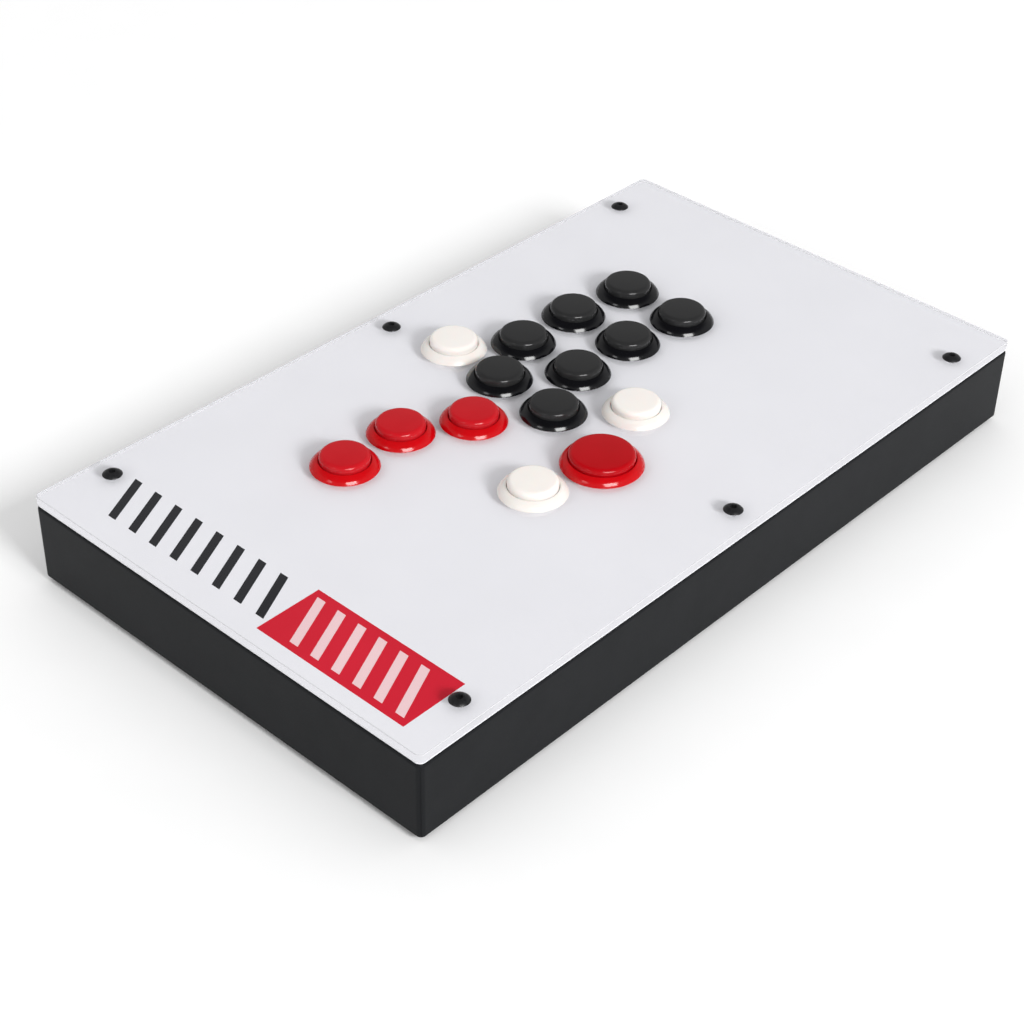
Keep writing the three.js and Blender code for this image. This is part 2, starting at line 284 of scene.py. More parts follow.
def rubber(name, colour, shade):
    material, tree, shader = new_material(name)
    bloom = noise_at(tree, 4 * MM, 5, 0.7)
    tree.links.new(blend_colours(tree, bloom, shade, colour), shader.inputs["Base Color"])
    tree.links.new(spread(tree, bloom, 0.7, 0.9), shader.inputs["Roughness"])
    tree.links.new(bump(tree, noise_at(tree, 0.3 * MM, 3), 0.02 * MM), shader.inputs["Normal"])
    return material


def ink(name, colour, shade):
    """Printed ink: a faint mottle of the film under it."""
    material, tree, shader = new_material(name)
    fibre = noise_at(tree, 0.8 * MM, 4)
    cloud = noise_at(tree, 40 * MM, 2)
    tree.links.new(blend_colours(tree, cloud, shade, colour), shader.inputs["Base Color"])
    tree.links.new(spread(tree, fibre, 0.5, 0.65), shader.inputs["Roughness"])
    shader.inputs["Specular IOR Level"].default_value = 0.0
    return material


def acrylic(name, colour, transmission=1.0, gloss=(0.0, 0.02), specular=0.5):
    """Clear cast acrylic with a hint of haze. Light for the matt surfaces under it passes straight."""
    material, tree, shader = new_material(name)
    haze = noise_at(tree, 25 * MM, 3)
    tree.links.new(spread(tree, haze, *gloss), shader.inputs["Roughness"])
    shader.inputs["Base Color"].default_value = (*colour, 1)
    shader.inputs["Transmission Weight"].default_value = transmission
    shader.inputs["Specular IOR Level"].default_value = specular
    shader.inputs["IOR"].default_value = 1.49
    path = tree.nodes.new("ShaderNodeLightPath")
    either = tree.nodes.new("ShaderNodeMath")
    either.operation = "MAXIMUM"
    clear = tree.nodes.new("ShaderNodeBsdfTransparent")
    mix = tree.nodes.new("ShaderNodeMixShader")
    tree.links.new(path.outputs["Is Shadow Ray"], either.inputs[0])
    tree.links.new(path.outputs["Is Diffuse Ray"], either.inputs[1])
    tree.links.new(either.outputs[0], mix.inputs["Fac"])
    tree.links.new(shader.outputs[0], mix.inputs[1])
    tree.links.new(clear.outputs[0], mix.inputs[2])
    tree.links.new(mix.outputs[0], tree.nodes["Material Output"].inputs["Surface"])
    return material


def floor_paper():
    material, tree, shader = new_material("floor_paper")
    fibre = noise_at(tree, 30 * MM, 3)
    tree.links.new(blend_colours(tree, fibre, (0.955, 0.955, 0.955), (0.965, 0.965, 0.965)),
                   shader.inputs["Base Color"])
    shader.inputs["Roughness"].default_value = 0.9
    shader.inputs["Specular IOR Level"].default_value = 0.0
    return material


MATT = (0.35, 0.5)

# A name, its recipe, its colour and (but for acrylic) a shade that the colour wanders to.
LOOKS = {name: make(name, *colours, **more) for name, make, colours, more in (
    ("case_paint", powder_coat, ((0.0132, 0.0140, 0.0155), (0.0117, 0.0124, 0.0137)), {}),
    ("base_paint", powder_coat, ((0.012, 0.0125, 0.0135), (0.009, 0.0095, 0.0105)), {}),
    ("print_white", ink, ((0.785, 0.782, 0.815), (0.77, 0.767, 0.80)), {}),
    ("ink_black", ink, ((0.025, 0.025, 0.028), (0.021, 0.021, 0.024)), {}),
    ("ink_red", ink, ((0.62, 0.015, 0.035), (0.58, 0.013, 0.03)), {}),
    ("ink_pale", ink, ((0.84, 0.585, 0.605), (0.81, 0.555, 0.575)), {}),
    ("clear_acrylic", acrylic, ((0.985, 0.99, 1.0),), {}),
    # The cover's side faces and rims are greyer than the clear plate: painted shade on the edge band, and a
    # painted shade line along the rounded edges.
    ("acrylic_edge", acrylic, ((0.86, 0.86, 0.875),),
     dict(transmission=0.95, gloss=(0.02, 0.05), specular=0.2)),
    ("acrylic_rim", acrylic, ((0.66, 0.66, 0.68),),
     dict(transmission=0.1, gloss=(0.15, 0.2), specular=0.1)),
    ("circuit_board", plastic, ((0.03, 0.13, 0.07), (0.02, 0.1, 0.05)), dict(gloss=MATT)),
    ("screw_black", oxide_steel, ((0.018, 0.018, 0.02), (0.01, 0.01, 0.011)), {}),
    ("foot_rubber", rubber, ((0.018, 0.018, 0.018), (0.012, 0.012, 0.012)), {}),
    ("bezel_red", plastic, ((0.53, 0.001, 0.004), (0.51, 0.001, 0.0035)), dict(specular=0.4, glow=0.1)),
    ("bezel_black", plastic, ((0.0045, 0.0045, 0.006), (0.0035, 0.0035, 0.0045)), {}),
    ("bezel_white", plastic, ((0.83, 0.79, 0.75), (0.82, 0.78, 0.74)), dict(specular=0.3, glow=0.3)),
    ("cap_red", plastic, ((0.52, 0.009, 0.015), (0.50, 0.008, 0.014)), dict(specular=0.25)),
    ("cap_deep_red", plastic, ((0.44, 0.002, 0.006), (0.42, 0.002, 0.005)), dict(specular=0.25)),
    ("cap_black", plastic, ((0.0255, 0.0255, 0.026), (0.0245, 0.0245, 0.025)), dict(specular=0.25)),
    ("cap_white", plastic, ((0.875, 0.83, 0.79), (0.865, 0.82, 0.78)), dict(specular=0.25, glow=0.3)),
    ("switch_body", plastic, ((0.016, 0.017, 0.02), (0.011, 0.012, 0.014)), dict(gloss=MATT)),
    ("socket_metal", bare_metal, ((0.62, 0.62, 0.63), (0.5, 0.5, 0.52)), {}),
    ("contact_gold", bare_metal, ((0.8, 0.58, 0.25), (0.7, 0.48, 0.2)), {}),
)}


# ---------------------------------------------------------------- mesh tools

def finish_piece(name, bm, looks, body, replaced=(), sharp=35):
    """Turns a bmesh into a piece that rides on a body, shaded smooth except along sharp edges."""
    bmesh.ops.remove_doubles(bm, verts=bm.verts, dist=1e-7)
    bmesh.ops.recalc_face_normals(bm, faces=bm.faces)
    mesh = bpy.data.meshes.new(name)
    bm.to_mesh(mesh)
    bm.free()
    for look in looks:
        mesh.materials.append(LOOKS[look])
    mesh.shade_smooth()
    mesh.set_sharp_from_angle(angle=math.radians(sharp))
    piece = bpy.data.objects.new(name, mesh)
    bpy.context.scene.collection.objects.link(piece)
    weighted = piece.modifiers.new("weighted_normals", "WEIGHTED_NORMAL")
    weighted.keep_sharp = True
    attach(piece, body)
    if replaced:
        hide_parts(*replaced)
    return piece


def rounded(profile, steps=5):
    """Points of a profile of (r, z, corner radius) with each corner turned into an arc."""
    points = []
    count = len(profile)
    for i, (r, z, radius) in enumerate(profile):
        here = Vector((r, z))
        if radius <= 0 or i in (0, count - 1):
            points.append(here)
            continue
        before = (Vector(profile[i - 1][:2]) - here).normalized()
        after = (Vector(profile[(i + 1) % count][:2]) - here).normalized()
        half = before.angle(after) / 2
        reach = radius / math.tan(half)
        centre = here + (before + after).normalized() * (radius / math.sin(half))
        start = here + before * reach - centre
        stop = here + after * reach - centre
        sweep = start.angle_signed(stop)
        for k in range(steps + 1):
            turn = -sweep * k / steps
            c, s = math.cos(turn), math.sin(turn)
            points.append(centre + Vector((start.x * c - start.y * s, start.x * s + start.y * c)))
    return points


def ring(bm, centre, radius_at, z, count):
    """One closed loop of vertices; radius_at gives the radius at an angle."""
    made = []
    for i in range(count):
        angle = WHOLE_TURN * i / count
        r = radius_at(angle)
        made.append(bm.verts.new((centre.x + r * math.cos(angle), centre.y + r * math.sin(angle), z)))
    return made


def skin(bm, lower, upper, material=0):
    count = len(lower)
    for i in range(count):
        j = (i + 1) % count
        face = bm.faces.new((lower[i], lower[j], upper[j], upper[i]))
        face.material_index = material


def skins(bm, loops, material=0):
    """Joins each loop to the next."""
    for low, high in zip(loops, loops[1:]):
        skin(bm, low, high, material)


def fan(bm, loop, middle, material=0):
    """Closes a loop with triangles to one middle vertex."""
    count = len(loop)
    for i in range(count):
        face = bm.faces.new((loop[i], loop[(i + 1) % count], middle))
        face.material_index = material


def turn_profile(bm, centre, base, points, count, closed=False, material_of=lambda i: 0):
    """Turns a profile about the upright axis through centre; points on the axis become poles."""
    loops = []
    for point in points:
        if point.x < 1e-6:
            loops.append(bm.verts.new((centre.x, centre.y, base + point.y)))
        else:
            loops.append(ring(bm, centre, lambda angle, r=point.x: r, base + point.y, count))
    pairs = list(zip(loops, loops[1:]))
    if closed:
        pairs.append((loops[-1], loops[0]))
    for i, (low, high) in enumerate(pairs):
        if isinstance(low, list) and isinstance(high, list):
            skin(bm, low, high, material_of(i))
        elif isinstance(low, list):
            fan(bm, low, high, material_of(i))
        elif isinstance(high, list):
            fan(bm, high, low, material_of(i))


GROOVE_HALF_WIDTH = 0.13 * MM


def corner_loop(bm, half, inset, z, radius, steps=8, groove=None):
    """A rounded rectangle drawn in by inset. A groove of this depth may run up the middle of each corner."""
    corner = max(radius - inset, 0.3 * MM)
    cx, cy = half.x - inset - corner, half.y - inset - corner
    turns = [(k / steps, 0.0) for k in range(steps + 1)]
    if groove is not None:
        reach = GROOVE_HALF_WIDTH / corner / (math.pi / 2)
        turns[steps // 2:steps // 2 + 1] = [(0.5 - reach, 0.0), (0.5, groove), (0.5 + reach, 0.0)]
    made = []
    for quarter, (sx, sy) in enumerate(((1, 1), (-1, 1), (-1, -1), (1, -1))):
        for turn, depth in turns:
            angle = (quarter + turn) * math.pi / 2
            r = corner - depth
            made.append(bm.verts.new((sx * cx + r * math.cos(angle), sy * cy + r * math.sin(angle), z)))
    return made


def loop_edges(bm, loop):
    return [bm.edges.get((loop[i], loop[(i + 1) % len(loop)])) or
            bm.edges.new((loop[i], loop[(i + 1) % len(loop)])) for i in range(len(loop))]


def fill_between(bm, loops, material=0):
    """Fills the flat region bounded by an outer loop and the holes inside it."""
    edges = [edge for loop in loops for edge in loop_edges(bm, loop)]
    result = bmesh.ops.triangle_fill(bm, use_beauty=True, use_dissolve=False, edges=edges)
    for item in result["geom"]:
        if isinstance(item, bmesh.types.BMFace):
            item.material_index = material


def centre_of(node):
    low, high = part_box(node)
    return (low + high) / 2


# ---------------------------------------------------------------- plates

CORNER = 2.5 * MM
HOLE_SEGMENTS = 64
FLANGE_COVERS = 2 * MM
SCREW_HOLE = 2.1 * MM
cover_low, cover_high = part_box("cover_plate")
sheet_low, sheet_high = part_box("printed_sheet")
case_low, case_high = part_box("case_shell")
base_low, base_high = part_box("base_plate")
COVER_TOP = cover_high.z

button_names = [name[len("housing_"):] for name in nodes if name.startswith("housing_")]
screw_names = [name for name in nodes if name.startswith("cover_screw_")]
foot_names = [name for name in nodes if name.startswith("foot_")]


def flange_radius(name):
    low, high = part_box("housing_" + name)
    return (high.y - low.y) / 2


def hole_list(wider=0.0):
    """(centre, radius) of every hole through the cover: buttons and screws."""
    holes = [(centre_of("housing_" + n), flange_radius(n) - FLANGE_COVERS + wider) for n in button_names]
    return holes + [(centre_of(n), SCREW_HOLE + wider) for n in screw_names]


def drilled_plate(bm, half, levels, holes, radius, hole_round=0.25 * MM, edge_look=0, rim_look=0):
    """A plate from (inset, z) levels, bottom to top, with holes whose rims are slightly broken."""
    outer = [corner_loop(bm, half, inset, z, radius) for inset, z in levels]
    for i, (low, high) in enumerate(zip(outer, outer[1:])):
        upright = levels[i][0] == levels[i + 1][0]
        skin(bm, low, high, edge_look if upright else rim_look)
    bottom, top = levels[0][1], levels[-1][1]
    lowest, highest = [outer[0]], [outer[-1]]
    for centre, r in holes:
        wide = r + hole_round
        rims = [(wide, bottom), (r, bottom + hole_round), (r, top - hole_round), (wide, top)]
        loops = [ring(bm, centre, lambda angle, w=w: w, z, HOLE_SEGMENTS) for w, z in rims]
        skins(bm, loops)
        lowest.append(loops[0])
        highest.append(loops[-1])
    fill_between(bm, lowest)
    fill_between(bm, highest)


def edge_levels(bottom, top, low_round, high_round, steps=5):
    """(inset, z) levels of a plate edge with both long edges rounded."""
    levels = []
    for k in range(steps + 1):
        angle = math.pi / 2 * k / steps
        levels.append((low_round * (1 - math.sin(angle)), bottom + low_round * (1 - math.cos(angle))))
    for k in range(steps + 1):
        angle = math.pi / 2 * k / steps
        levels.append((high_round * (1 - math.cos(angle)), top - high_round * (1 - math.sin(angle))))
    return levels


def half_of(low, high):
    return Vector(((high.x - low.x) / 2, (high.y - low.y) / 2))


def make_cover():
    """The clear plate: polished edges drawn a little grey as painted shade, and a finely sanded rim along
    them drawn darker grey as a painted shade line.
    """
    bm = bmesh.new()
    levels = edge_levels(cover_low.z, COVER_TOP, 0.2 * MM, 0.3 * MM)
    drilled_plate(bm, half_of(cover_low, cover_high), levels, hole_list(), CORNER, edge_look=1, rim_look=2)
    looks = ["clear_acrylic", "acrylic_edge", "acrylic_rim"]
    cover = finish_piece("cover_acrylic", bm, looks, ROOT, ["cover_plate"], sharp=60)
    spare(cover, key_sheen, fill)


INK_RISE = 0.02 * MM
FILM_INSET = 0.03 * MM
FILM_SHOWS_IN_HOLES = 0.1 * MM


def make_sheet():
    """The printed film, bonded to the cover out to its edge: its top lies just inside the clear plate."""
    bm = bmesh.new()
    levels = [(FILM_INSET, sheet_low.z), (FILM_INSET, sheet_high.z + INK_RISE)]
    holes = hole_list(-FILM_SHOWS_IN_HOLES)
    drilled_plate(bm, half_of(cover_low, cover_high), levels, holes, CORNER, 0.05 * MM)
    finish_piece("printed_film", bm, ["print_white"], ROOT, ["printed_sheet"], sharp=60)


# ---------------------------------------------------------------- printed graphic

STRIP_FROM_EDGE = 8 * MM
BLOCK_WIDTH = 30 * MM
BLOCK_LENGTH = 74 * MM
BLOCK_FROM_FRONT = 16 * MM
STROKE = 4.2 * MM
LEAN = 11 * MM
DARK_SLASHES = 8
DARK_PITCH = 11.9 * MM
DARK_MARGINS = (5 * MM, 3 * MM)
PALE_SLASHES = 6
PALE_PITCH = 10.6 * MM
PALE_MARGIN = 3.2 * MM
ROWS_APART = 2 * MM


def flat_shape(bm, corners, bottom, top):
    low = [bm.verts.new((x, y, bottom)) for x, y in corners]
    high = [bm.verts.new((x, y, top)) for x, y in corners]
    skin(bm, low, high)
    bm.faces.new(high)
    bm.faces.new(low[::-1])


def slashes(name, look, count, pitch, x0, x1, first, bottom, top):
    """A row of slanted bars across the strip, one piece of ink."""
    bm = bmesh.new()
    for i in range(count):
        y = first + i * pitch
        flat_shape(bm, [(x0, y), (x1, y + LEAN), (x1, y + LEAN + STROKE), (x0, y + STROKE)], bottom, top)
    finish_piece(name, bm, [look], ROOT)


def make_print():
    left = cover_low.x + STRIP_FROM_EDGE
    right = left + BLOCK_WIDTH
    front = cover_low.y + BLOCK_FROM_FRONT
    back = front + BLOCK_LENGTH
    paper = sheet_high.z + INK_RISE

    bm = bmesh.new()
    corners = [(left, front), (right, front), (right, back), (left, back)]
    flat_shape(bm, corners, paper - INK_RISE, paper + INK_RISE)
    finish_piece("print_red_block", bm, ["ink_red"], ROOT)

    row = (PALE_SLASHES - 1) * PALE_PITCH + LEAN + STROKE
    slashes("print_pale_slashes", "ink_pale", PALE_SLASHES, PALE_PITCH,
            left + PALE_MARGIN, right - PALE_MARGIN, front + (BLOCK_LENGTH - row) / 2,
            paper, paper + 2 * INK_RISE)
    slashes("print_black_slashes", "ink_black", DARK_SLASHES, DARK_PITCH,
            left + DARK_MARGINS[0], right - DARK_MARGINS[1], back + ROWS_APART,
            paper - INK_RISE, paper + INK_RISE)


# ---------------------------------------------------------------- case

WALL = 1.5 * MM
TOP_FOLD = 2.2 * MM
BOTTOM_EDGE = 1.2 * MM
LIP = 5 * MM
SEAM = 0.22 * MM


def make_case():
    """Folded shell: outer skin with rounded folds, seams down the corners, and its inner faces."""
    half = half_of(case_low, case_high)
    bottom, top = case_low.z, case_high.z
    bm = bmesh.new()
    outside = edge_levels(bottom, top, BOTTOM_EDGE, TOP_FOLD, 6)
    lip_top = base_high.z + WALL
    recess = [(WALL, bottom), (WALL, base_high.z), (WALL + LIP, base_high.z), (WALL + LIP, lip_top)]
    hollow = [(WALL, lip_top), (WALL, top - WALL)]
    loops = []
    for inset, z in list(reversed(hollow)) + list(reversed(recess)) + outside:
        groove = SEAM if inset < 0.01 * MM else 0.0
        loops.append(corner_loop(bm, half, inset, z, CORNER, groove=groove))
    skins(bm, loops)
    upper, lower = [loops[-1]], [loops[0]]
    for centre, r in hole_list():
        rims = [ring(bm, centre, lambda angle, w=r: w, z, HOLE_SEGMENTS) for z in (top - WALL, top)]
        skin(bm, *rims)
        lower.append(rims[0])
        upper.append(rims[1])
    fill_between(bm, upper)
    fill_between(bm, lower)
    case = finish_piece("steel_case", bm, ["case_paint"], ROOT, ["case_shell"], sharp=50)
    cut_socket_opening(case)


board_low, board_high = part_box("encoder_board")
BOARD_THICKNESS = 1.6 * MM
STANDOFF_HEIGHT = 5 * MM
SOCKET_HEIGHT = 3.3 * MM
SOCKET_HALF = (4.5 * MM, SOCKET_HEIGHT / 2)
SLOT_MARGIN = 0.5 * MM
BOARD_TOP = board_low.z + STANDOFF_HEIGHT + BOARD_THICKNESS
SOCKET_MIDDLE = BOARD_TOP + SOCKET_HEIGHT / 2
SOCKET_X = (board_low.x + board_high.x) / 2


def slot_loop(bm, half, y, rounding, steps=6):
    """An upright rounded slot around the socket's axis, at this y."""
    width, height = half
    loop = []
    for quarter, (sx, sz) in enumerate(((1, 1), (-1, 1), (-1, -1), (1, -1))):
        for k in range(steps + 1):
            angle = (quarter + k / steps) * math.pi / 2
            loop.append(bm.verts.new((
                SOCKET_X + sx * (width - rounding) + rounding * math.cos(angle), y,
                SOCKET_MIDDLE + sz * (height - rounding) + rounding * math.sin(angle))))
    return loop


def cut_socket_opening(case):
    """A rounded slot through the back wall around the socket, cut with a throwaway solid."""
    bm = bmesh.new()
    half = [side + SLOT_MARGIN for side in SOCKET_HALF]
    ends = (case_high.y - 3 * WALL, case_high.y + WALL)
    loops = [slot_loop(bm, half, y, 1.6 * MM) for y in ends]
    skin(bm, *loops)
    bm.faces.new(loops[0])
    bm.faces.new(loops[1])
    bmesh.ops.recalc_face_normals(bm, faces=bm.faces)
    mesh = bpy.data.meshes.new("slot_cutter")
    bm.to_mesh(mesh)
    bm.free()
    cutter = bpy.data.objects.new("slot_cutter", mesh)
    bpy.context.scene.collection.objects.link(cutter)
    modifier = case.modifiers.new("socket_slot", "BOOLEAN")
    modifier.operation = "DIFFERENCE"
    modifier.object = cutter
    modifier.solver = "EXACT"
    bpy.context.view_layer.update()
    evaluated = case.evaluated_get(bpy.context.evaluated_depsgraph_get())
    baked = bpy.data.meshes.new_from_object(evaluated)
    case.modifiers.clear()
    case.data = baked
    bpy.data.objects.remove(cutter)


# ---------------------------------------------------------------- buttons

BUTTON_SEGMENTS = 96
FIT_GAP = 0.3 * MM
SLIP_GAP = 0.15 * MM
BARREL_DEPTH = 17 * MM
BARREL_WALL = 1.8 * MM
FLANGE_OVER_BARREL = 2.3 * MM
CAP_ROUND = 1.8 * MM
CROWN = 0.25 * MM
BEZEL_SWEEP = math.radians(50)
STEM_RADIUS = 2 * MM
STEM_END = -13.4 * MM
SKIRT_END = -9 * MM
SKIRT_WALL = 1.2 * MM
SHOULDER = 2.5 * MM
CAP_CEILING = 1.9 * MM


def bowed(start, stop, sweep, steps):
    """Points from start to stop on an arc that turns through sweep, bulging away from the button's axis."""
    start, stop = Vector(start), Vector(stop)
    chord = stop - start
    radius = chord.length / 2 / math.sin(sweep / 2)
    outward = Vector((chord.y, -chord.x)).normalized()
    centre = (start + stop) / 2 - outward * radius * math.cos(sweep / 2)
    made = []
    for k in range(steps + 1):
        turn = sweep * (k / steps - 0.5)
        c, s = math.cos(turn), math.sin(turn)
        made.append(centre + radius * Vector((outward.x * c - outward.y * s, outward.x * s + outward.y * c)))
    return made


def bezel_profile(flange, well, height, bore, barrel):
    """A bowed face from the plate up to the well, then down the well and the barrel. It closes on itself."""
    face = bowed((flange, 0), (well, height), BEZEL_SWEEP, 9)
    return rounded([
        (barrel, -BARREL_DEPTH, 0),
        (barrel, 0, 0),
        *((point.x, point.y, 0) for point in face[:-1]),
        (well, height, 0.45 * MM),
        (well, 0, 0.15 * MM),
        (bore, 0, 0.15 * MM),
        (bore, -BARREL_DEPTH, 0),
    ], steps=6)


def make_button(name):
    """The housing stays with the case; the plunger, cap and all, rides on the button's own body."""
    housing, plunger = "housing_" + name, "plunger_" + name
    centre = centre_of(housing)
    cap_low, cap_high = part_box(plunger)
    housing_low, housing_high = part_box(housing)
    flange = flange_radius(name)
    cap = (cap_high.y - cap_low.y) / 2
    cap_top = cap_high.z - COVER_TOP
    height = housing_high.z - COVER_TOP
    barrel = flange - FLANGE_OVER_BARREL
    bore = barrel - BARREL_WALL
    skirt = bore - FIT_GAP
    well = cap + FIT_GAP
    face = well - SLIP_GAP

    bezel = bmesh.new()
    outline = bezel_profile(flange, well, height, bore, barrel)
    turn_profile(bezel, centre, COVER_TOP, outline, BUTTON_SEGMENTS, closed=True)
    finish_piece("bezel_" + name, bezel, [slot_of[housing]], ROOT, [housing], sharp=50)

    shell = bmesh.new()
    crown = [(face * t, cap_top - CROWN * t * t, 0) for t in (0, 0.2, 0.4, 0.6, 0.76)]
    outline = rounded([
        (0, STEM_END, 0),
        (STEM_RADIUS, STEM_END, 0.3 * MM),
        (STEM_RADIUS, CAP_CEILING, 0),
        (skirt - SKIRT_WALL, CAP_CEILING, 0),
        (skirt - SKIRT_WALL, SKIRT_END, 0),
        (skirt, SKIRT_END, 0),
        (skirt, SHOULDER, 0),
        (face, SHOULDER, 0.15 * MM),
        (face, cap_top - CROWN, CAP_ROUND),
        *reversed(crown),
    ], steps=7)
    turn_profile(shell, centre, COVER_TOP, outline, BUTTON_SEGMENTS)
    look = "cap_deep_red" if name == "jump" else slot_of[plunger]
    finish_piece("cap_" + name, shell, [look], "button_" + name, [plunger], sharp=50)


# ---------------------------------------------------------------- screws, feet, base, board

def hexagon(radius):
    """Radius of a hexagon, by angle, whose corners lie at `radius`."""
    def at(angle):
        within = angle % (math.pi / 3) - math.pi / 6
        return radius * math.cos(math.pi / 6) / math.cos(within)
    return at


SCREW_SEGMENTS = 72
SCREW_SWEEP = math.radians(40)
SHANK_RADIUS = 1.8 * MM
HEAD_FLAT = 1.75 * MM
HEX_RADIUS = 1.45 * MM
HEX_DEPTH = 1.1 * MM
HEX_CONE = 0.4 * MM


def make_screw(node):
    """A low dome head with a hexagon socket, on its shank."""
    low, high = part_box(node)
    centre = centre_of(node)
    top = high.z
    head = (high.y - low.y) / 2
    bm = bmesh.new()
    loops = [ring(bm, centre, lambda a: SHANK_RADIUS, z, SCREW_SEGMENTS) for z in (low.z, COVER_TOP)]
    for point in bowed((head, 0), (HEAD_FLAT, top - COVER_TOP), SCREW_SWEEP, 10):
        loops.append(ring(bm, centre, lambda a, r=point.x: r, COVER_TOP + point.y, SCREW_SEGMENTS))
    socket = hexagon(HEX_RADIUS)
    loops.append(ring(bm, centre, lambda a: socket(a) * 1.04, top, SCREW_SEGMENTS))
    loops.append(ring(bm, centre, socket, top - 0.08 * MM, SCREW_SEGMENTS))
    loops.append(ring(bm, centre, socket, top - HEX_DEPTH, SCREW_SEGMENTS))
    skins(bm, loops)
    fan(bm, loops[-1], bm.verts.new((centre.x, centre.y, top - HEX_DEPTH - HEX_CONE)))
    fan(bm, loops[0], bm.verts.new((centre.x, centre.y, low.z)))
    finish_piece(node + "_head", bm, ["screw_black"], ROOT, [node], sharp=40)


FOOT_HOLLOW = 0.3 * MM


def make_foot(node):
    """A round rubber pad, slightly hollow in the middle of its sole."""
    low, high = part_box(node)
    radius = (high.y - low.y) / 2
    bm = bmesh.new()
    outline = rounded([
        (0, FOOT_HOLLOW, 0),
        (radius * 0.45, FOOT_HOLLOW, 0.2 * MM),
        (radius * 0.5, 0, 0.2 * MM),
        (radius - 0.2 * MM, 0, 0.6 * MM),
        (radius, high.z, 0.1 * MM),
        (0, high.z, 0),
    ], steps=5)
    turn_profile(bm, centre_of(node), 0, outline, 64)
    finish_piece(node + "_pad", bm, ["foot_rubber"], ROOT, [node], sharp=40)


BASE_SCREW_INSET = 4.5 * MM
BASE_SCREW_RADIUS = 2.75 * MM
BASE_SCREW_STANDS = 1.2 * MM
BASE_SCREW_PLACES = ((-1, -1), (0, -1), (1, -1), (-1, 1), (0, 1), (1, 1), (-1, 0), (1, 0))


def make_base():
    """Base plate with its edges broken, and the small pan-head screws that hold it."""
    half = half_of(base_low, base_high)
    bm = bmesh.new()
    levels = edge_levels(base_low.z, base_high.z, 0.3 * MM, 0.3 * MM, 3)
    drilled_plate(bm, half, levels, [], CORNER)
    finish_piece("base_sheet", bm, ["base_paint"], ROOT, ["base_plate"], sharp=60)
    for i, (fx, fy) in enumerate(BASE_SCREW_PLACES):
        centre = Vector((fx * (half.x - BASE_SCREW_INSET), fy * (half.y - BASE_SCREW_INSET), 0))
        head = bmesh.new()
        outline = rounded([
            (0, 0.9 * MM, 0),
            (0.9 * MM, 0.9 * MM, 0),
            (0.9 * MM, 0.1 * MM, 0.1 * MM),
            (2.6 * MM, 0.25 * MM, 0.6 * MM),
            (BASE_SCREW_RADIUS, BASE_SCREW_STANDS, 0),
            (BASE_SCREW_RADIUS, 1.6 * MM, 0),
            (0, 1.6 * MM, 0),
        ], steps=5)
        turn_profile(head, centre, base_low.z - BASE_SCREW_STANDS, outline, 48)
        finish_piece(f"base_screw_{i + 1}", head, ["screw_black"], ROOT, sharp=40)


def block(bm, low, high, rounding=0.15 * MM, material=0):
    """A moulded block between two corners, its edges rounded over."""
    size = Vector(high) - Vector(low)
    middle = (Vector(high) + Vector(low)) / 2
    made = bmesh.ops.create_cube(bm, size=1.0)["verts"]
    bmesh.ops.scale(bm, vec=size, verts=made)
    bmesh.ops.translate(bm, vec=middle, verts=made)
    edges = list(dict.fromkeys(edge for vert in made for edge in vert.link_edges))
    faces = {face for vert in made for face in vert.link_faces}
    arcs = bmesh.ops.bevel(bm, geom=edges, offset=rounding, segments=2, affect="EDGES", profile=0.5)
    for face in set(arcs["faces"]) | {face for face in faces if face.is_valid}:
        face.material_index = material


BOARD_HALF = Vector(((board_high.x - board_low.x) / 2, 14 * MM))
BOARD_MIDDLE = Vector((SOCKET_X, board_low.y + BOARD_HALF.y, 0))
BOARD_CORNER = 2 * MM
BOARD_HOLE = 1.6 * MM
STANDOFF_INSET = 5 * MM
SPACER_RADIUS = 2.75 * MM
PARTS_Y = BOARD_MIDDLE.y - 2 * MM


